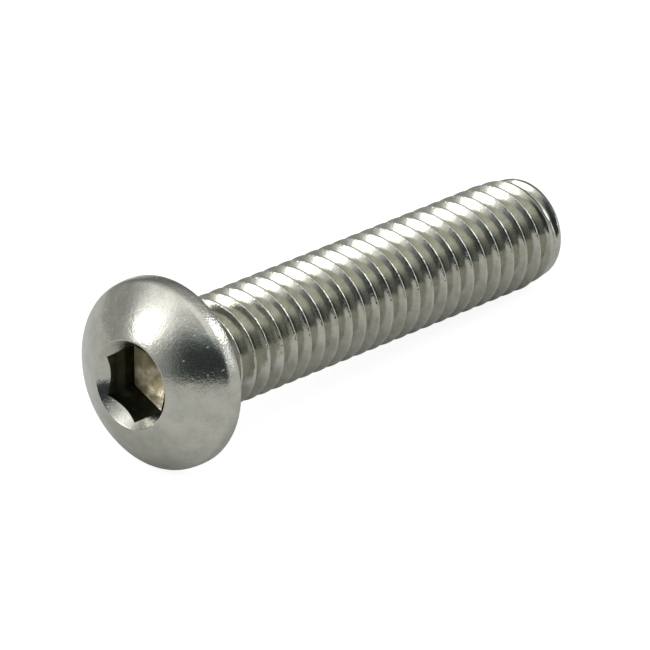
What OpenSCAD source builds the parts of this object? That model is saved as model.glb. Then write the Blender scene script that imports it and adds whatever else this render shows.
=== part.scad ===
// Button head machine screw with a hexagon socket, 5/16 in - 18 thread, 1 1/2 in long.
// One solid piece of stainless steel, lying at rest on the rim of its head and on its thread.
// All sizes are in millimetres. The head points along -X and the tip along +X.

/* [Head] */
// Diameter over the rim of the head
head_d = 13.5; // [12:0.1:16]
// Height of the rim, from the bearing face to where the dome would meet it
rim_h = 1.2; // [0.8:0.05:2.2]
// Radius of the rim's crown, the slight bulge of the rim seen from the side
crown_r = 4; // [3.4:0.1:8]
// Height of the rim's widest line above the bearing face
crown_z = 0.5; // [0.3:0.05:0.7]
// Radius of the dome
dome_r = 8.7; // [8.2:0.1:14]
// Rounding between the dome and the rim
rim_round = 0.9; // [0.3:0.05:1.2]
// Rounding between the rim and the bearing face
edge_round = 0.15; // [0.05:0.05:0.3]

/* [Socket] */
// Width of the hexagon socket across its flats
key_size = 4.79; // [3.5:0.01:5.2]
// Depth of the socket, from its mouth to the edge of its floor
socket_depth = 3.1; // [1.5:0.1:3.4]
// Diameter of the bevelled mouth
mouth_d = 6.34; // [6.1:0.02:8]
// Full angle of the mouth's bevel
mouth_angle = 90; // [80:1:120]
// Diameter of the drilled cone in the floor
floor_d = 3.3; // [2:0.1:3.4]
// Full angle of the drilled cone
floor_angle = 140; // [118:1:170]
// Turn of the hexagon about the screw's axis
socket_turn = -5; // [-30:1:30]

/* [Shank] */
// Length from the bearing face to the tip
length = 38.1; // [16:0.1:80]
// Diameter of the plain neck under the head
neck_d = 7; // [6.8:0.05:7.2]
// Length of the plain neck
neck_len = 1.6; // [1:0.1:6]
// Radius of the fillet under the head
fillet_r = 0.5; // [0.45:0.05:0.8]
// Length over which the crests shrink before the steep point
lead_len = 2.2; // [1:0.1:5]
// Diameter over the crests where the steep point begins
lead_d = 7.1; // [6.2:0.05:7.5]
// Diameter of the tip's end face
point_d = 4.5; // [3:0.1:5.4]
// Length of the steep point
point_len = 1.2; // [0.6:0.1:2.5]

/* [Thread] */
// Diameter over the thread's crests
thread_d = 7.8; // [7.6:0.02:7.9]
// Advance of the thread in one turn
pitch = 1.411; // [1.058:0.001:1.5]
// Full angle between a thread's flanks
thread_angle = 60; // [50:1:60]
// Width of the flat on a crest
crest_flat = 0.14; // [0.08:0.01:0.2]
// Depth of the thread, from crest to root
thread_depth = 0.86; // [0.5:0.01:0.88]
// Length over which the thread rises out of the neck
run_in = 1.2; // [0.8:0.1:3]
// Part of a turn over which the last groove fades out near the tip
fade_turns = 0.45; // [0.2:0.05:1]
// Angle of the crest where it would cross the bearing face
thread_start = 163; // [0:1:359]

/* [Hidden] */
$fn = 96;

// Facets in one turn of the thread, and points in its profile
turn_steps = 24;
profile_points = 4;
// Points in a rounded corner and in the dome
round_steps = 5;
dome_steps = 16;
// How far a cutting tool reaches past the surface that it cuts
overcut = 1;
// How far the thread's buried end lies below the neck's surface
buried = 0.1;

head_r = head_d / 2;
neck_r = neck_d / 2;
crest_r = thread_d / 2;
root_r = crest_r - thread_depth;
mouth_r = mouth_d / 2;

// Height of the dome's centre above the bearing face
dome_z = sqrt(dome_r * dome_r - head_r * head_r) - rim_h;
// Height of the head at the socket's mouth, its highest solid edge
head_h = sqrt(dome_r * dome_r - mouth_r * mouth_r) - dome_z;
// Centres of the rim's crown and of the roundings beside it, which touch it and the dome
crown = [head_r - crown_r, -crown_z];
dome_side = crossing([0, dome_z], dome_r - rim_round, crown, crown_r - rim_round);
dome_end = atan2(dome_side.x, dome_z - dome_side.y);
crown_start = atan2(dome_side.x - crown.x, crown.y - dome_side.y);
crown_end = 90 + asin((crown_z - edge_round) / (crown_r - edge_round));
edge_side = [crown.x + (crown_r - edge_round) * sin(crown_end), -edge_round];

// The thread's ends are left ragged: one is buried in the head and neck, the other is cut off
helix_start = -pitch / 2;
helix_end = length + 0.25 * pitch;
helix_steps = ceil((helix_end - helix_start) / pitch * turn_steps);
run_in_start = helix_start + 1.5 * pitch;
fade_end = length - 1.5 * pitch;

// The screw lies on the rim's crown and on the crest where the lead of the point begins
rest_rise = crown.x - crest_r;
rest_span = length - point_len - lead_len - crown.y;
rest_tilt = atan2(rest_rise, rest_span) + asin(crown_r / norm([rest_rise, rest_span]));
rest_height = crown.x * cos(rest_tilt) + crown.y * sin(rest_tilt) + crown_r;
rest_left = -head_h * cos(rest_tilt) - mouth_r * sin(rest_tilt);
rest_right = length * cos(rest_tilt) + point_d / 2 * sin(rest_tilt);

// Points of an arc from angle a to angle b, measured from -Z of the outline towards +X
function arc(centre, r, a, b, steps) =
    [for (i = [0 : steps]) let (t = a + (b - a) * i / steps) centre + r * [sin(t), -cos(t)]];

// Where two circles cross: the crossing on the left of the way from centre a to centre b
function crossing(a, ra, b, rb) =
    let (d = norm(b - a), u = (b - a) / d, t = (ra * ra - rb * rb + d * d) / (2 * d))
    a + t * u + sqrt(ra * ra - t * t) * [-u.y, u.x];

// The head and neck seen from the side: x is the radius, y the height above the bearing face
function head_outline() = concat(
    arc([0, dome_z], dome_r, 0, dome_end, dome_steps),
    arc(dome_side, rim_round, dome_end, crown_start, round_steps),
    arc(crown, crown_r, crown_start, crown_end, round_steps),
    arc(edge_side, edge_round, crown_end, 180, round_steps),
    arc([neck_r + fillet_r, fillet_r], fillet_r, 0, -90, round_steps),
    [[neck_r, neck_len],
     [root_r - buried, neck_len + neck_r - root_r + buried],
     [0, neck_len + neck_r - root_r + buried]]);

// Height and radius of the thread's profile points, over one pitch from a crest to the next
flank_run = thread_depth * tan(thread_angle / 2);
profile = [
    [-crest_flat / 2, crest_r],
    [crest_flat / 2, crest_r],
    [crest_flat / 2 + flank_run, root_r],
    [pitch - crest_flat / 2 - flank_run, root_r]];

// The profile's radius is held inside the neck at first, then rises to its full depth. Near
// the tip the last groove fades out, so that the point is smooth.
function run_in_share(z) = max(0, min(1, (z - run_in_start) / run_in));
function depth_share(z) = max(0, min(1, (fade_end - z) / (fade_turns * pitch)));
function thread_point(step, p) =
    let (crest_z = helix_start + pitch * step / turn_steps,
         z = crest_z + profile[p].x,
         angle = thread_start + 360 * (helix_start / pitch + step / turn_steps),
         full_r = crest_r - (crest_r - profile[p].y) * depth_share(crest_z),
         share = run_in_share(z),
         r = share * full_r + (1 - share) * (neck_r - buried))
    [r * cos(angle), r * sin(angle), z];

// The last point of a profile is the first one of the next turn
function point_index(step, p) =
    p == profile_points ? point_index(step + turn_steps, 0) :
    step <= helix_steps ? step * profile_points + p :
    (helix_steps + 1) * profile_points + step - helix_steps - 1;

// A right-hand helix: one thread profile carried round and up, joined to the turn above it
module thread() {
    points = concat(
        [for (step = [0 : helix_steps], p = [0 : profile_points - 1]) thread_point(step, p)],
        [for (step = [helix_steps + 1 : helix_steps + turn_steps]) thread_point(step, 0)],
        [[0, 0, helix_start], [0, 0, helix_end + pitch]]);
    bottom = len(points) - 2;
    top = len(points) - 1;
    bottom_loop = concat(
        [for (p = [0 : profile_points]) point_index(0, p)],
        [for (step = [turn_steps - 1 : -1 : 0]) point_index(step, 0)]);
    top_loop = concat(
        [for (p = [0 : profile_points]) point_index(helix_steps, p)],
        [for (step = [turn_steps - 1 : -1 : 0]) point_index(helix_steps + step, 0)]);
    faces = concat(
        [for (step = [0 : helix_steps - 1], p = [0 : profile_points - 1], half = [0, 1])
            let (a = point_index(step, p), b = point_index(step + 1, p),
                 c = point_index(step + 1, p + 1), d = point_index(step, p + 1))
            half == 0 ? [a, c, b] : [a, d, c]],
        [for (i = [0 : len(bottom_loop) - 2]) [bottom, bottom_loop[i + 1], bottom_loop[i]]],
        [for (i = [0 : len(top_loop) - 2]) [top, top_loop[i], top_loop[i + 1]]]);
    polyhedron(points, faces);
}

// The turned blank of the shank, wider than the crests so that only its lead and its point
// trim the thread
module blank() {
    wide_r = crest_r + overcut;
    lead_slope = (crest_r - lead_d / 2) / lead_len;
    rotate_extrude()
        polygon([[0, helix_start - pitch], [wide_r, helix_start - pitch],
                 [wide_r, length - point_len - lead_len - overcut / lead_slope],
                 [lead_d / 2, length - point_len],
                 [point_d / 2, length], [0, length]]);
}

// The hexagon socket with its bevelled mouth and drilled floor
module socket() {
    bevel_slope = tan(mouth_angle / 2);
    bevel_depth = (mouth_r - floor_d / 2) / bevel_slope;
    floor_z = socket_depth - head_h;
    translate([0, 0, -head_h - overcut])
        rotate([0, 0, socket_turn])
        cylinder(d = key_size / cos(30), h = socket_depth + overcut, $fn = 6);
    translate([0, 0, -head_h - overcut])
        cylinder(r1 = mouth_r + overcut * bevel_slope, r2 = floor_d / 2, h = bevel_depth + overcut);
    translate([0, 0, floor_z - overcut])
        cylinder(d = floor_d, h = overcut);
    translate([0, 0, floor_z])
        cylinder(d1 = floor_d, d2 = 0, h = floor_d / 2 / tan(floor_angle / 2));
}

// The screw standing on its head, with its axis on Z and its bearing face at height 0
module upright_screw() {
    difference() {
        union() {
            rotate_extrude() polygon(head_outline());
            intersection() {
                thread();
                blank();
            }
        }
        socket();
    }
}

module screw() {
    color([0.72, 0.71, 0.68])
        translate([-(rest_left + rest_right) / 2, 0, rest_height])
        rotate([0, 90 + rest_tilt, 0])
        upright_screw();
}

screw();
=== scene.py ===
# %% [markdown]
# # A button head machine screw in Blender
#
# The screw is one piece of stainless steel: a low domed head with a hexagon socket, a short
# plain neck, a rolled right-hand thread and a tapered point. It lies on a pale table, on the
# crowned rim of its head and on the last full crest of its thread.
#
# The solid that was made in CAD is loaded first, and it stays the frame for everything here.
# Its box is kept.

import math

import bpy
import numpy as np
from mathutils import Matrix, Vector


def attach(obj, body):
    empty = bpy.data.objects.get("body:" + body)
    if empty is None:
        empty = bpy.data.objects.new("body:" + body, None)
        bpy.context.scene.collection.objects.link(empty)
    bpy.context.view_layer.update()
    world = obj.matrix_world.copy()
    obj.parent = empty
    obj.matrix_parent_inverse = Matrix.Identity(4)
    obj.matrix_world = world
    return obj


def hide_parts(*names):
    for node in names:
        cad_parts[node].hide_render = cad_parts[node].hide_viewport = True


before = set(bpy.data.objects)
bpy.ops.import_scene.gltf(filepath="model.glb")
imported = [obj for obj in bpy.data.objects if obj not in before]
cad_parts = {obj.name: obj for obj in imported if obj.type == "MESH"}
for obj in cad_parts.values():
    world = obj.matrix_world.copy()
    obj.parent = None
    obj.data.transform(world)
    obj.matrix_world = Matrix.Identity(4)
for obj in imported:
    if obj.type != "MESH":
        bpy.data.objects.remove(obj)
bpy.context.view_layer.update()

# %% [markdown]
# ## The sizes of the screw
#
# A screw is turned and rolled about one axis, so every size is a diameter, a height along that
# axis or an angle. All of them are in millimetres, for a screw that stands on its head: the
# bearing face under the head is at height 0, the head reaches down from it, and the shank
# reaches up. They are the same values as in the CAD source.

# %% Sizes in millimetres and degrees
HEAD_R = 6.75
RIM_H = 1.2
CROWN_R = 4.0
CROWN_Z = 0.5
DOME_R = 8.7
RIM_ROUND = 0.9
EDGE_ROUND = 0.15

KEY_SIZE = 4.79
SOCKET_DEPTH = 3.1
MOUTH_R = 3.17
MOUTH_ANGLE = 90
FLOOR_R = 1.65
FLOOR_ANGLE = 140
SOCKET_TURN = -5

LENGTH = 38.1
NECK_R = 3.5
FILLET_R = 0.5
LEAD_R = 3.55
LEAD_LEN = 2.2
POINT_R = 2.25
POINT_LEN = 1.2

CREST_R = 3.9
PITCH = 1.411
CREST_FLAT = 0.14
THREAD_DEPTH = 0.86
FLANK_LEAN = 30
THREAD_START = 163
RUN_IN = 1.2
FADE_TURNS = 0.45

root_r = CREST_R - THREAD_DEPTH
dome_z = math.sqrt(DOME_R**2 - HEAD_R**2) - RIM_H
mouth_z = dome_z - math.sqrt(DOME_R**2 - MOUTH_R**2)
floor_z = mouth_z + SOCKET_DEPTH
print(f"head {-mouth_z:.2f} mm high, root radius {root_r:.2f} mm")

# %% [markdown]
# ## How the screw lies
#
# A screw on a table rests on two points: the slightly crowned rim of its wide head, and the
# last full crest, where the lead of its point begins. The line under both is the table, so the
# axis slopes down a few degrees towards the tip. A turn about Y lays the upright screw down by
# that much past a right angle, and a shift puts the middle of its footprint at the origin.

# %% Lay the upright screw on the table
crown_centre_r = HEAD_R - CROWN_R
rise = crown_centre_r - CREST_R
span = LENGTH - POINT_LEN - LEAD_LEN + CROWN_Z
tilt = math.atan2(rise, span) + math.asin(CROWN_R / math.hypot(rise, span))
rest_height = crown_centre_r * math.cos(tilt) - CROWN_Z * math.sin(tilt) + CROWN_R
rest_left = mouth_z * math.cos(tilt) - MOUTH_R * math.sin(tilt)
rest_right = LENGTH * math.cos(tilt) + POINT_R * math.sin(tilt)
middle = (rest_left + rest_right) / 2

lay_down = np.array([
    [-math.sin(tilt), 0, math.cos(tilt)],
    [0, 1, 0],
    [-math.cos(tilt), 0, -math.sin(tilt)],
])
shift = np.array([-middle, 0, rest_height])
MM = 0.001


def laid(radius, angle, height):
    """Points in the row frame, in metres, of a screw on its side: each comes from a radius, an
    angle and a height of the upright screw, by x = r cos a, y = r sin a, z = h, then the turn
    and the shift of the screw at rest."""
    upright = np.stack([radius * np.cos(angle), radius * np.sin(angle), height], axis=-1)
    return (upright @ lay_down.T + shift) * MM


axis = Vector(lay_down[:, 2])
bearing = Vector(shift * MM)
print(f"the axis slopes {math.degrees(tilt):.2f} degrees; bearing face at {tuple(bearing)}")

# %% [markdown]
# ## The camera
#
# The photograph was taken from far away with a long lens, so parallel edges stay almost
# parallel. The camera stands about a metre off, ahead of the head, to its right and above it.
# Its three directions are written out, because they came from fitting the outline of the
# screw to the picture.

# %% Place the camera
PICTURE_PX = 650
FOCAL_PX = 14650
SENSOR_MM = 36

look = Vector((0.6689274, 0.58988618, -0.45229462))
right = Vector((0.66140482, -0.75002911, 0.0))
up = Vector((0.33923413, 0.29914984, 0.89186859))
stand = bearing + Vector((-0.6545184, -0.5913644, 0.4507486))

camera_data = bpy.data.cameras.new("camera")
camera_data.sensor_width = SENSOR_MM
camera_data.lens = FOCAL_PX * SENSOR_MM / PICTURE_PX
camera = bpy.data.objects.new("camera", camera_data)
camera.matrix_world = Matrix((
    (right.x, up.x, -look.x, stand.x),
    (right.y, up.y, -look.y, stand.y),
    (right.z, up.z, -look.z, stand.z),
    (0, 0, 0, 1),
))
bpy.context.scene.collection.objects.link(camera)
bpy.context.scene.camera = camera
print(f"lens {camera_data.lens:.0f} mm at {tuple(round(x, 3) for x in stand)}")

# %% [markdown]
# ## One skin for the whole screw
#
# A screw could be built from a head, a shank and a thread that push through each other, but
# then hidden walls stay inside it. Here it is one closed skin: a ring of points at the bottom
# of the socket grows up the socket's walls, out over the dome, round the rim, under the head
# and along the thread to the tip. Every ring has the same number of columns, and a column
# falls on each corner of the hexagon, so the six edges stay sharp.

# %% The columns round the axis
COLUMNS = 120
column_angle = math.radians(SOCKET_TURN) + 2 * np.pi * np.arange(COLUMNS) / COLUMNS
from_corner = np.mod(column_angle - column_angle[0], np.pi / 3)
key_r = KEY_SIZE / 2 / np.cos(from_corner - np.pi / 6)
print(f"hexagon radius {key_r.min():.3f} to {key_r.max():.3f} mm")


def point(radius, height):
    """One ring of the skin as an array of (radius, height), the same or different by column."""
    return np.stack(np.broadcast_arrays(radius, height, column_angle)[:2], axis=-1).astype(float)


def soft_corner(before, corner, after, cut, steps):
    """Rings round a soft corner: a quadratic curve (1-t)^2 a + 2t(1-t) c + t^2 b, where a and b
    lie at the distance cut from the corner, towards the rings before and after it."""
    back = before - corner
    ahead = after - corner
    a = corner + cut * back / np.linalg.norm(back, axis=-1, keepdims=True)
    b = corner + cut * ahead / np.linalg.norm(ahead, axis=-1, keepdims=True)
    t = np.linspace(0, 1, steps)[:, None, None]
    return (1 - t) ** 2 * a + 2 * t * (1 - t) * corner + t**2 * b


def straight(first, last, steps):
    """Rings on the straight wall between two rings, both left out."""
    t = np.linspace(0, 1, steps + 2)[1:-1, None, None]
    return (1 - t) * first + t * last


def arc(centre, radius, start, end, steps):
    """Rings of a revolved arc: the angle runs from straight below the centre, outwards."""
    turn = np.radians(np.linspace(start, end, steps))
    r = centre[0] + radius * np.sin(turn)
    h = centre[1] - radius * np.cos(turn)
    return np.repeat(np.stack([r, h], axis=-1)[:, None], COLUMNS, axis=1)


# %% [markdown]
# ## The socket
#
# The hexagon is punched into the cold head, so its walls are flat and its corners are crisp.
# A pilot drill leaves a shallow cone in the floor, and a countersink bevels the mouth. Where
# the round bevel meets the six flat walls, the edge rises and falls in six scallops. That is
# got by working out, for each column, the height at which the wall reaches the cone.

# %% The socket, from its lowest point out to the mouth
FLOOR_STEPS = 7
RING_STEPS = 2
WALL_STEPS = 7
DOME_GAP = 0.1
cone_depth = FLOOR_R / math.tan(math.radians(FLOOR_ANGLE / 2))
bevel_rise = 1 / math.tan(math.radians(MOUTH_ANGLE / 2))
pole_of_socket = point(0.0, floor_z + cone_depth)
floor_edge = point(FLOOR_R, floor_z)
wall_foot = point(key_r, floor_z)
wall_top = point(key_r, mouth_z + (MOUTH_R - key_r) * bevel_rise)
mouth = point(MOUTH_R, mouth_z)


def crossing(a, radius_a, b, radius_b):
    """Where two circles cross, on the left of the way from centre a to centre b."""
    a, b = np.array(a), np.array(b)
    d = np.linalg.norm(b - a)
    along = (b - a) / d
    t = (radius_a**2 - radius_b**2 + d * d) / (2 * d)
    aside = math.sqrt(radius_a**2 - t * t)
    return a + t * along + aside * np.array([-along[1], along[0]])


crown = (crown_centre_r, -CROWN_Z)
dome_side = crossing((0, dome_z), DOME_R - RIM_ROUND, crown, CROWN_R - RIM_ROUND)
dome_end = math.degrees(math.atan2(dome_side[0], dome_z - dome_side[1]))
crown_start = math.degrees(math.atan2(dome_side[0] - crown[0], crown[1] - dome_side[1]))
lean = math.asin((CROWN_Z - EDGE_ROUND) / (CROWN_R - EDGE_ROUND))
crown_end = 90 + math.degrees(lean)
edge_side = (crown[0] + (CROWN_R - EDGE_ROUND) * math.cos(lean), -EDGE_ROUND)
dome_start = math.degrees(math.asin((MOUTH_R + DOME_GAP) / DOME_R))
dome = arc((0, dome_z), DOME_R, dome_start, dome_end, 40)

floor_corner = soft_corner(pole_of_socket, floor_edge, wall_foot, 0.1, 4)
foot_corner = soft_corner(floor_edge, wall_foot, wall_top, 0.03, 4)
top_corner = soft_corner(wall_foot, wall_top, mouth, 0.04, 4)
mouth_corner = soft_corner(wall_top, mouth, dome[0], 0.07, 5)

socket_rings = np.concatenate([
    straight(pole_of_socket, floor_corner[0], FLOOR_STEPS),
    floor_corner,
    straight(floor_corner[-1], foot_corner[0], RING_STEPS),
    foot_corner,
    straight(foot_corner[-1], top_corner[0], WALL_STEPS),
    top_corner,
])
bevel_rings = np.concatenate([straight(top_corner[-1], mouth_corner[0], 4), mouth_corner])
floor_rings = FLOOR_STEPS + len(floor_corner) + RING_STEPS
print(f"{len(socket_rings)} rings in the socket, {len(bevel_rings)} on its bevel")

# %% [markdown]
# ## The head outside
#
# The dome is part of a ball, cut off by the mouth of the socket and rounded into a short rim.
# Cold metal swells where no die holds it, so the rim is slightly crowned. Under the head a flat
# ring bears on the clamped part, and a fillet leads into the neck, because a sharp corner there
# would crack. All of this is one revolved outline.

# %% The dome, the rim, the bearing face and the fillet
NECK_GAP = 0.06
rim_corner = arc(dome_side, RIM_ROUND, dome_end, crown_start, 12)
rim_crown = arc(crown, CROWN_R, crown_start, crown_end, 10)
edge_corner = arc(edge_side, EDGE_ROUND, crown_end, 180, 7)
fillet = arc((NECK_R + FILLET_R, FILLET_R), FILLET_R, 0, -90, 8)
neck_ring = point(NECK_R, FILLET_R + NECK_GAP)

head_rings = np.concatenate([
    dome,
    rim_corner[1:],
    rim_crown[1:],
    edge_corner[1:],
    straight(edge_corner[-1], fillet[0], 4),
    fillet,
    neck_ring[None],
])
print(f"{len(head_rings)} rings on the head; dome ends at {dome_end:.1f} degrees")

# %% [markdown]
# ## The thread
#
# A rolled thread is one groove that climbs round the shank, with a 60 degree angle between its
# flanks, a narrow rounded crest and a wider rounded root. Rings that lie flat would cut across
# its crest and leave a ragged line. So the rows of this stretch climb with the thread: a row
# of points is the thread's profile over one pitch, and it is carried round and up. The last
# point of each row is the first point of the row that stands one whole turn later.
#
# At the neck the profile fades into the plain shank. At the tip the last groove fades out, and
# two cones trim the crests: a slow lead and then a steep point. The rows are pressed together
# at both ends, so that they stop before the fillet and before the end face.

# %% The profile of the thread
CREST_ROUND = 0.06
ROOT_ROUND = 0.16
half_profile = np.array(
    [0, 0.036, 0.059, 0.081, 0.104, 0.16, 0.26, 0.37, 0.47, 0.53, 0.59, 0.65, PITCH / 2]
)
profile_x = np.concatenate([half_profile, PITCH - half_profile[-2:0:-1]])


def soft_min(a, b, width):
    """The lesser of two heights, rounded where they cross: min(a, b) - h^2 / (4 w), where h is
    how much closer than w the two are."""
    near = np.maximum(width - np.abs(a - b), 0)
    return np.minimum(a, b) - near**2 / (4 * width)


def profile_radius(x):
    """Radius of the thread at a distance x past a crest: a flat crest, a straight flank that
    leans by FLANK_LEAN, and a flat root, with both corners rounded."""
    from_crest = np.minimum(x, PITCH - x)
    flank = CREST_R - (from_crest - CREST_FLAT / 2) / math.tan(math.radians(FLANK_LEAN))
    cut = -soft_min(-flank, np.full_like(flank, -root_r), ROOT_ROUND)
    return soft_min(cut, np.full_like(cut, CREST_R), CREST_ROUND)


print(f"{len(profile_x)} points in the profile, {profile_radius(profile_x).round(2)}")

# %% Carry the profile round and up
ROW_GAP = 0.05
TIP_GAP = 0.25
run_in_start = PITCH
first_crest = PITCH * (SOCKET_TURN - THREAD_START) / 360
bare_point_z = LENGTH - POINT_LEN / 2
turns = math.ceil((bare_point_z - first_crest) / PITCH)
last_turn_end = first_crest + (turns + 1) * PITCH

step = np.arange(turns * COLUMNS + 1)
thread_angle = column_angle[0] + 2 * np.pi * step / COLUMNS
crest_z = first_crest + PITCH * step[:, None] / COLUMNS
nominal = crest_z + profile_x
share = np.clip((nominal - run_in_start) / RUN_IN, 0, 1)
share = share * share * (3 - 2 * share)

neck_top = neck_ring[0, 1] + ROW_GAP
neck_press = (run_in_start - neck_top) / (run_in_start - first_crest)
point_press = (LENGTH - TIP_GAP - bare_point_z) / (last_turn_end - bare_point_z)


def pressed(z):
    """Heights of the rows: true along the thread, and pressed together past both its ends."""
    low = run_in_start - (run_in_start - z) * neck_press
    high = bare_point_z + (z - bare_point_z) * point_press
    return np.where(z < run_in_start, low, np.where(z > bare_point_z, high, z))


def point_cone(z):
    """Radius of the two cones that taper the tip, the slow lead and the steep point."""
    lead = LEAD_R + (LENGTH - POINT_LEN - z) * (CREST_R - LEAD_R) / LEAD_LEN
    steep = POINT_R + (LENGTH - z) * (LEAD_R - POINT_R) / POINT_LEN
    return soft_min(lead, steep, 0.1)


fade_end = LENGTH - 1.5 * PITCH
depth = np.clip((fade_end - crest_z) / (FADE_TURNS * PITCH), 0, 1)
depth = depth * depth * (3 - 2 * depth)
full_r = CREST_R - (CREST_R - profile_radius(profile_x)) * depth

thread_z = pressed(nominal)
thread_r = NECK_R + share * (full_r - NECK_R)
thread_r = soft_min(thread_r, point_cone(thread_z), 0.05)
print(f"{turns} turns, {thread_r.size} points, radius {thread_r.min():.2f} to {thread_r.max():.2f} mm")

# %% The edge that closes the last turn, and the tip
END_GAP = 0.2
last_step = step[-1] + 1 + np.arange(COLUMNS)
closing_z = pressed(first_crest + PITCH * last_step / COLUMNS)
closing_r = point_cone(closing_z)
closing_angle = column_angle[0] + 2 * np.pi * last_step / COLUMNS

end_edge = point(POINT_R, LENGTH)
cone_ring_z = LENGTH - END_GAP
cone_ring = point(float(point_cone(cone_ring_z)), cone_ring_z)
pole_of_tip = point(0.0, LENGTH)
end_corner = soft_corner(cone_ring, end_edge, pole_of_tip, 0.12, 5)
tip_rings = np.concatenate([end_corner, straight(end_corner[-1], pole_of_tip, 5)])
print(f"{len(tip_rings)} rings on the tip")

# %% [markdown]
# ## Sewing the skin together
#
# Rings are joined by squares, column by column. The climbing rows are joined in the same way,
# and their ends are stepped by one pitch, so a strip of ever taller squares fits each end to a
# flat ring. In the last column of each strip the square has the whole edge of a profile on one
# side. It is one face with many corners there, so no gap and no double point is left.

# %% Number the points
skin_rings = np.concatenate([socket_rings, bevel_rings, head_rings])
ring_points = laid(skin_rings[..., 0], column_angle, skin_rings[..., 1])
thread_points = laid(thread_r, thread_angle[:, None], thread_z)
closing_points = laid(closing_r, closing_angle, closing_z)
tip_points = laid(tip_rings[..., 0], column_angle, tip_rings[..., 1])
pole_z = np.array([pole_of_socket[0, 1], pole_of_tip[0, 1]])
poles = laid(np.zeros(2), np.zeros(2), pole_z)

groups = [ring_points, thread_points, closing_points, tip_points, poles]
groups = [g.reshape(-1, 3) for g in groups]
starts = np.cumsum([0] + [len(g) for g in groups])
points = np.concatenate(groups)

ring_id = starts[0] + np.arange(len(groups[0])).reshape(-1, COLUMNS)
thread_id = starts[1] + np.arange(len(groups[1])).reshape(len(step), -1)
closing_id = starts[2] + np.arange(COLUMNS)
tip_id = starts[3] + np.arange(len(groups[3])).reshape(-1, COLUMNS)
socket_pole_id, tip_pole_id = starts[4], starts[4] + 1
print(f"{len(points)} points")


def between(lower, upper):
    """Squares between two closed rings of point numbers, or between many pairs of them."""
    return np.stack(
        [lower, np.roll(lower, -1, axis=-1), np.roll(upper, -1, axis=-1), upper], axis=-1
    ).reshape(-1, 4)


def fan(ring, pole, outwards):
    """Triangles from a ring of point numbers to one pole."""
    ahead = np.roll(ring, -1)
    centre = np.full_like(ring, pole)
    return np.stack([ring, ahead, centre] if outwards else [ahead, ring, centre], axis=-1)


# %% Join the points by faces
crest_line = np.concatenate([thread_id[:, 0], closing_id])
row_end = crest_line[step + COLUMNS]
rows = np.concatenate([thread_id, row_end[:, None]], axis=1)
climbing = np.stack([rows[:-1, :-1], rows[1:, :-1], rows[1:, 1:], rows[:-1, 1:]], axis=-1)

neck_id = ring_id[-1]
tip_start = tip_id[0]
first_turn = crest_line[: COLUMNS + 1]
last_turn = crest_line[-COLUMNS - 1 :]
neck_strip = np.stack([neck_id[:-1], neck_id[1:], first_turn[1:-1], first_turn[:-2]], axis=-1)
tip_ahead = np.roll(tip_start, -1)
tip_strip = np.stack([last_turn[1:-1], last_turn[2:], tip_ahead[1:], tip_start[1:]], axis=-1)
neck_patch = [neck_id[-1], neck_id[0], *rows[0], first_turn[-2]]
tip_patch = [last_turn[0], last_turn[1], tip_start[1], tip_start[0], *rows[-1][:0:-1]]

squares = [
    between(ring_id[:-1], ring_id[1:]),
    neck_strip,
    climbing.reshape(-1, 4),
    tip_strip,
    between(tip_id[:-1], tip_id[1:]),
]
triangles = [
    fan(ring_id[0], socket_pole_id, False),
    fan(tip_id[-1], tip_pole_id, True),
]
faces = [face for block in squares + triangles for face in block.tolist()]
faces += [[int(i) for i in neck_patch], [int(i) for i in tip_patch]]
print(f"{len(faces)} faces")

# %% [markdown]
# ## A mesh object from the skin
#
# The points already have their place in metres, so the object stays at the origin. Shading is
# smooth, and only edges that turn by more than 35 degrees are kept sharp: the corners of the
# hexagon. The screw takes the place of the CAD node and rides on the part's only body.

# %% Make the piece
mesh = bpy.data.meshes.new("screw_steel")
mesh.from_pydata(points.tolist(), [], faces)
mesh.validate()
mesh.update()
mesh.polygons.foreach_set("use_smooth", np.ones(len(mesh.polygons), dtype=bool))
mesh.set_sharp_from_angle(angle=math.radians(35))

screw = bpy.data.objects.new("screw_steel", mesh)
bpy.context.scene.collection.objects.link(screw)
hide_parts("screw")
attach(screw, "root")

edge_uses = np.zeros(len(mesh.edges), dtype=int)
loop_edges = np.zeros(len(mesh.loops), dtype=int)
mesh.loops.foreach_get("edge_index", loop_edges)
np.add.at(edge_uses, loop_edges, 1)
triangle_count = len(mesh.loops) - 2 * len(mesh.polygons)
print(f"{triangle_count} triangles, open edges: {int((edge_uses != 2).sum())}")

# %% [markdown]
# ## Writing shader maths as expressions
#
# A finish is a network of nodes. Two small classes make it readable: a wire is the output of a
# node, and signs such as + and * on wires add Math nodes. Any other node comes from one method
# that takes its type, its settings and the values or wires of its sockets.

# %% Wires and networks
class Wire:
    """The output socket of a node, which can be used in sums."""

    def __init__(self, network, socket):
        self.network = network
        self.socket = socket

    def math(self, operation, *values):
        sockets = dict(enumerate(values))
        return self.network.node("ShaderNodeMath", {"operation": operation}, sockets)

    def __add__(self, other):
        return self.math("ADD", self, other)

    def __sub__(self, other):
        return self.math("SUBTRACT", self, other)

    def __rsub__(self, other):
        return self.math("SUBTRACT", other, self)

    def __mul__(self, other):
        return self.math("MULTIPLY", self, other)

    __radd__ = __add__
    __rmul__ = __mul__

    def step(self, low, high):
        """0 below low, 1 above high, and a smooth rise between them."""
        settings = {"interpolation_type": "SMOOTHSTEP"}
        sockets = {"Value": self, "From Min": low, "From Max": high}
        return self.network.node("ShaderNodeMapRange", settings, sockets)


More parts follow.
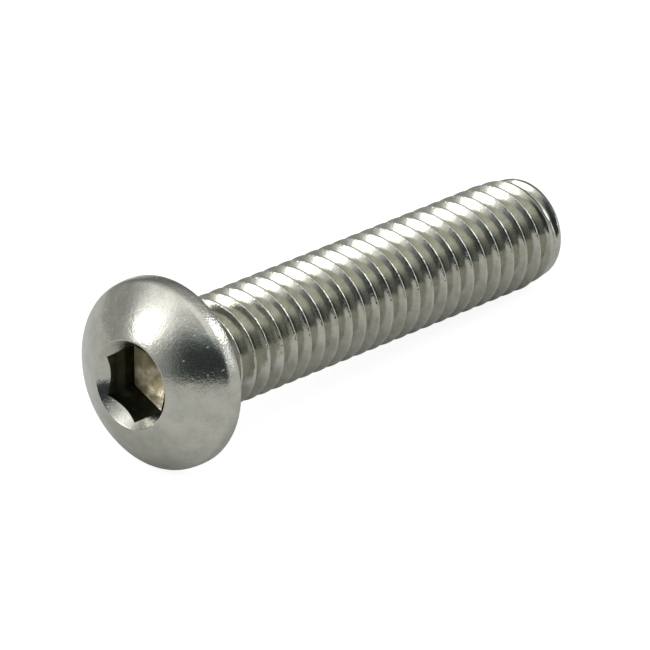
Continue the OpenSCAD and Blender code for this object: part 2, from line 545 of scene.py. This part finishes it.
class Network:
    """The node tree of a material or of the world."""

    def __init__(self, owner):
        owner.use_nodes = True
        self.tree = owner.node_tree
        self.tree.nodes.clear()

    def node(self, kind, settings=None, sockets=None, output=0):
        """Adds a node, sets it, fills its sockets and returns a wire from one of its outputs."""
        made = self.tree.nodes.new(kind)
        for name, value in (settings or {}).items():
            setattr(made, name, value)
        for name, value in (sockets or {}).items():
            if isinstance(value, Wire):
                self.tree.links.new(value.socket, made.inputs[name])
            else:
                made.inputs[name].default_value = value
        return Wire(self, made.outputs[output]) if len(made.outputs) else None

    def vector(self, operation, *values, output=0):
        sockets = dict(enumerate(values))
        return self.node("ShaderNodeVectorMath", {"operation": operation}, sockets, output)

    def noise(self, place, scale, detail=2.0, rough=0.5):
        """Cloudy noise from 0 to 1 with so many blobs in a millimetre."""
        sockets = {"Vector": place, "Scale": scale, "Detail": detail, "Roughness": rough}
        return self.node("ShaderNodeTexNoise", {}, sockets)

    def blend(self, share, first, second):
        """A colour between two colours."""
        made = self.tree.nodes.new("ShaderNodeMix")
        made.data_type = "RGBA"
        made.clamp_factor = True
        colours = [s for s in made.inputs if s.type == "RGBA"]
        for socket, value in zip((made.inputs[0], *colours), (share, first, second)):
            if isinstance(value, Wire):
                self.tree.links.new(value.socket, socket)
            else:
                socket.default_value = value
        return Wire(self, [s for s in made.outputs if s.type == "RGBA"][0])


print("wires are ready")

# %% [markdown]
# ## Stainless steel in four finishes
#
# The whole screw is the same steel, but each stretch was made in another way. The head was
# tumbled with small stones, which leaves a satin skin of shallow dents and a few short nicks,
# most of them on the rim. The thread was rolled between hard dies, so it is smoother, with
# faint lines that run round it and small burrs on its crests. The socket's walls were punched,
# with faint drawn marks; their near-black colour is painted shade, and a lighter band on one
# side near the mouth is painted reflection. Its floor was drilled, and is tan and dished, with
# brown smears; towards the side that the lamp reaches it is tanner, which is painted light, and
# a brown band along the edge of that side is painted shadow.
#
# Colour, roughness and a bump change over the surface, and nothing else does. The patterns
# read the object's own coordinates, turned into millimetres along and round the axis.

# %% Places on the screw
def in_millimetres(network):
    """The place of a surface point, in millimetres from the bearing face's centre."""
    place = network.node("ShaderNodeTexCoord", output=3)
    moved = network.vector("SUBTRACT", place, tuple(bearing))
    return network.node(
        "ShaderNodeVectorMath", {"operation": "SCALE"}, {0: moved, "Scale": 1000.0}
    )


def along_axis(network, place):
    """How far a point lies from the bearing face towards the tip."""
    return network.vector("DOT_PRODUCT", place, tuple(axis), output=1)


def from_axis(network, place):
    """How far a point lies from the screw's axis."""
    on_axis = network.node(
        "ShaderNodeVectorMath",
        {"operation": "SCALE"},
        {0: tuple(axis), "Scale": along_axis(network, place)},
    )
    aside = network.vector("SUBTRACT", place, on_axis)
    return network.vector("LENGTH", aside, output=1)


def stretched(network, place, along):
    """The place with its part along the axis multiplied, so that a pattern on it is drawn out
    round the screw, or along it where the factor is small."""
    height = along_axis(network, place)
    extra = network.node(
        "ShaderNodeVectorMath",
        {"operation": "SCALE"},
        {0: tuple(axis), "Scale": height * (along - 1.0)},
    )
    return network.vector("ADD", place, extra)


def steel(name, colour, roughness, height, distance):
    """A bare metal whose colour, roughness and bump come from the wires that are given."""
    network = colour.network
    normal = network.node(
        "ShaderNodeBump", {}, {"Height": height, "Distance": distance, "Strength": 1.0}
    )
    metal = network.node(
        "ShaderNodeBsdfPrincipled",
        {},
        {"Base Color": colour, "Metallic": 1.0, "Roughness": roughness, "Normal": normal},
    )
    network.node("ShaderNodeOutputMaterial", {}, {"Surface": metal})
    return name


# %% The tumbled head
BRIGHT_STEEL = (0.575, 0.57, 0.515, 1)
DULL_STEEL = (0.46, 0.46, 0.4, 1)

tumbled = bpy.data.materials.new("tumbled_steel")
net = Network(tumbled)
place = in_millimetres(net)
dents = net.noise(place, 3.2, 2.0, 0.55)
grain = net.noise(place, 16.0, 2.0, 0.6)
clouds = net.noise(place, 0.9, 3.0, 0.6)
pebbles = net.noise(place, 7.0, 1.0, 0.5)
on_rim = along_axis(net, place).step(-1.3, -1.0)
scratches = net.noise(stretched(net, place, 0.3), 5.0, 1.0, 0.5)
nicks = (scratches + on_rim * 0.05).step(0.71, 0.79)
tumbled_height = dents * 1.1 + pebbles * (0.7 + on_rim * 1.4) + grain * 0.18 - nicks * 1.5
steel(
    "tumbled_steel",
    net.blend((clouds + pebbles * 0.35).step(0.45, 0.95), BRIGHT_STEEL, DULL_STEEL),
    0.175 + grain.step(0.45, 0.75) * 0.06 + clouds * 0.03,
    tumbled_height,
    9e-6,
)
print("tumbled head:", len(net.tree.nodes), "nodes")

# %% The rolled thread
OILY_STEEL = (0.425, 0.423, 0.34, 1)

rolled = bpy.data.materials.new("rolled_steel")
net = Network(rolled)
place = in_millimetres(net)
lines = net.noise(stretched(net, place, 9.0), 1.1, 3.0, 0.6)
spots = net.noise(place, 4.0, 2.0, 0.6)
burrs = net.noise(place, 3.5, 1.0, 0.6)
on_crest = from_axis(net, place).step(CREST_R - 0.12, CREST_R - 0.04)
clouds = net.noise(place, 1.2, 3.0, 0.6)
steel(
    "rolled_steel",
    net.blend((clouds + spots * 0.3).step(0.4, 1.0), BRIGHT_STEEL, OILY_STEEL),
    0.15 + spots.step(0.5, 0.8) * 0.1,
    lines * 0.4 + spots * 0.7 + (burrs - 0.5) * on_crest * 5.0,
    7e-6,
)
print("rolled thread:", len(net.tree.nodes), "nodes")

# %% The punched socket
# Painted shade: the walls of the socket get a near-black colour for the shade in the recess.
PAINTED_SHADE_WALL = (0.045, 0.05, 0.042, 1)
# The lighter olive colour serves both the random drawn marks and a painted reflection.
OLIVE_MARKS_AND_PAINTED_REFLECTION = (0.42, 0.42, 0.33, 1)

punched = bpy.data.materials.new("punched_steel")
net = Network(punched)
place = in_millimetres(net)
height = along_axis(net, place)
drawn = net.noise(place, 2.2, 2.0, 0.6)
on_left = net.vector("DOT_PRODUCT", place, (0, 1, 0), output=1).step(1.4, 2.1)
# Painted light: the +Y wall is a little lighter near the mouth.
lit_mouth_side = (1 - height.step(-1.8, -1.5)) * on_left
# Painted reflection: a lighter band across that wall, partway down the socket.
painted_reflection_band = height.step(-2.7, -2.1) * lit_mouth_side
steel(
    "punched_steel",
    net.blend(
        painted_reflection_band * 0.3 + lit_mouth_side * 0.09 + drawn.step(0.55, 0.8) * 0.2, PAINTED_SHADE_WALL, OLIVE_MARKS_AND_PAINTED_REFLECTION
    ),
    0.3 + drawn * 0.1,
    drawn,
    1.0e-5,
)
print("punched socket:", len(net.tree.nodes), "nodes")

# %% The drilled floor
# The tan serves the floor's own colour and painted light; the brown serves random smears and painted
# shade.
TAN_FLOOR_AND_PAINTED_LIGHT = (0.98, 0.89, 0.67, 1)
BROWN_FLOOR_AND_PAINTED_SHADE = (0.4, 0.345, 0.21, 1)

drilled = bpy.data.materials.new("drilled_steel")
net = Network(drilled)
place = in_millimetres(net)
smears = net.noise(place, 0.8, 2.0, 0.5)
chips = net.noise(place, 5.0, 2.0, 0.6)
spread = from_axis(net, place)
dish = spread + spread.math("MAXIMUM", FLOOR_R)
# Painted light: the floor turns tan towards the side that the key lamp reaches through the mouth.
lamp_lit_side = net.vector("DOT_PRODUCT", place, (0, -0.69, -0.72), output=1)
# Painted shadow: a brown band just short of that side, along the edge of the mouth's shadow.
painted_shadow_band = lamp_lit_side.step(-0.2, 0.15) * (1 - lamp_lit_side.step(0.35, 0.7))
steel(
    "drilled_steel",
    net.blend(
        (smears - lamp_lit_side * 0.12 + painted_shadow_band * 0.12).step(0.35, 0.65), TAN_FLOOR_AND_PAINTED_LIGHT, BROWN_FLOOR_AND_PAINTED_SHADE
    ),
    0.4 + chips * 0.15,
    smears * 1.6 + chips + dish * 5.0,
    5e-5,
)
print("drilled floor:", len(net.tree.nodes), "nodes")

# %% Give each face its finish
TUMBLED, ROLLED, PUNCHED, DRILLED = range(4)
for material in (tumbled, rolled, punched, drilled):
    mesh.materials.append(material)

ring_count = len(ring_id) - 1
finish_of_ring = np.full(ring_count, TUMBLED)
finish_of_ring[: len(socket_rings) - 1] = PUNCHED
finish_of_ring[:floor_rings] = DRILLED
sizes = [len(block) for block in squares]
finish = np.concatenate([
    np.repeat(finish_of_ring, COLUMNS),
    np.full(sum(sizes[1:]), ROLLED),
    np.full(COLUMNS, DRILLED),
    np.full(COLUMNS, ROLLED),
    np.array([ROLLED, ROLLED]),
])
mesh.polygons.foreach_set("material_index", finish.astype(np.int32))
mesh.update()
print("faces by finish:", np.bincount(finish))

# %% [markdown]
# ## The studio
#
# Bare steel has hardly a colour of its own: it shows the room. The photograph's room can be
# read from the head, which is a small convex mirror. There is a white table, a soft lamp with a
# glow round it ahead of the head on its left, a bright window past the tip on the right, a
# bright ceiling and a dim stretch behind the camera. Three oval lamps and a grey world that
# changes with the direction make that room.
#
# The camera itself sees white behind the screw. That white is given to camera rays alone, in
# the world and in the table, so it adds no light to the steel.

# %% The world
def towards(azimuth, elevation):
    """The direction with this azimuth, from +X towards +Y, and this elevation."""
    a, e = math.radians(azimuth), math.radians(elevation)
    return Vector((math.cos(a) * math.cos(e), math.sin(a) * math.cos(e), math.sin(e)))


def patch(network, direction, azimuth, elevation, inner, outer):
    """1 within the inner angle of a direction, 0 past the outer one, with a soft edge."""
    nearness = network.vector("DOT_PRODUCT", direction, tuple(towards(azimuth, elevation)), output=1)
    return nearness.step(math.cos(math.radians(outer)), math.cos(math.radians(inner)))


world = bpy.data.worlds.new("room")
bpy.context.scene.world = world
net = Network(world)
direction = net.node("ShaderNodeTexCoord", output=0)
height = net.node("ShaderNodeSeparateXYZ", {}, {0: direction}, output=2)
level = net.vector("NORMALIZE", net.vector("MULTIPLY", direction, (1, 1, 0)))
behind = net.vector("DOT_PRODUCT", level, tuple(towards(-125, 0)), output=1).step(0.45, 0.85)
ceiling = height.step(0.4, 0.85)
camera_side = behind * (1 - height.step(0.5, 0.85))
far_side = patch(net, direction, 30, 30, 15, 60)
high_side = patch(net, direction, -165, 47, 8, 28)
room_light = (0.42 + ceiling * 0.8) * (1 - far_side * 0.5) * (1 - high_side * 0.35)
room_light = room_light * (1 - camera_side * 0.9)
key_glow = patch(net, direction, 149, 36, 8, 30)
room_colour = net.blend(camera_side, (1, 1, 1, 1), (0.75, 0.95, 1.0, 1))

path = net.node("ShaderNodeLightPath")
seen = Wire(net, path.socket.node.outputs["Is Camera Ray"])
strength = seen + (1 - seen) * (room_light + key_glow * 0.65)
background = net.node("ShaderNodeBackground", {}, {"Color": room_colour, "Strength": strength})
net.node("ShaderNodeOutputWorld", {}, {"Surface": background})
print("world:", len(net.tree.nodes), "nodes")

# %% The soft lamps
def soft_lamp(name, azimuth, elevation, half_wide, half_tall, brightness, colour=(1, 1, 1)):
    """An oval lamp that fills these half angles, as seen from the screw. Its power is
    brightness * pi * area, so brightness is what a mirror would show."""
    distance = 0.9
    wide = distance * math.tan(math.radians(half_wide))
    tall = distance * math.tan(math.radians(half_tall))
    data = bpy.data.lights.new(name, "AREA")
    data.shape = "ELLIPSE"
    data.size = 2 * wide
    data.size_y = 2 * tall
    data.energy = brightness * math.pi * math.pi * wide * tall
    data.color = colour
    lamp = bpy.data.objects.new(name, data)
    way = towards(azimuth, elevation)
    lamp.location = way * distance
    lamp.rotation_euler = way.to_track_quat("Z", "Y").to_euler()
    bpy.context.scene.collection.objects.link(lamp)
    print(f"{name}: {data.energy:.2f} W, {2 * wide:.2f} by {2 * tall:.2f} m")


soft_lamp("key_lamp", 148, 31, 13, 13, 2.4)
soft_lamp("window_top", -35, 36, 9, 12, 3.4)
soft_lamp("window_foot", -48, 14, 7, 11, 1.5, (0.85, 0.93, 1.0))

# %% The table
table_mesh = bpy.data.meshes.new("table")
half = 2.0
table_mesh.from_pydata(
    [(-half, -half, -1e-5), (half, -half, -1e-5), (half, half, -1e-5), (-half, half, -1e-5)],
    [],
    [(0, 1, 2, 3)],
)
table = bpy.data.objects.new("table", table_mesh)
bpy.context.scene.collection.objects.link(table)

table_paint = bpy.data.materials.new("table_white")
net = Network(table_paint)
path = net.node("ShaderNodeLightPath").socket.node
seen = Wire(net, path.outputs["Is Camera Ray"])
card = net.node("ShaderNodeBsdfDiffuse", {}, {"Color": (0.75, 0.75, 0.74, 1)})
glow = net.node("ShaderNodeEmission", {}, {"Strength": 1.5})
mixed = net.node("ShaderNodeMixShader", {}, {0: seen * 0.6, 1: card, 2: glow})
net.node("ShaderNodeOutputMaterial", {}, {"Surface": mixed})
table_mesh.materials.append(table_paint)
print("table:", len(net.tree.nodes), "nodes")

# %% [markdown]
# ## Finish
#
# Colours are shown as they are, without a film look.

# %% Show colours as they are, and end
bpy.context.scene.view_settings.view_transform = "Standard"
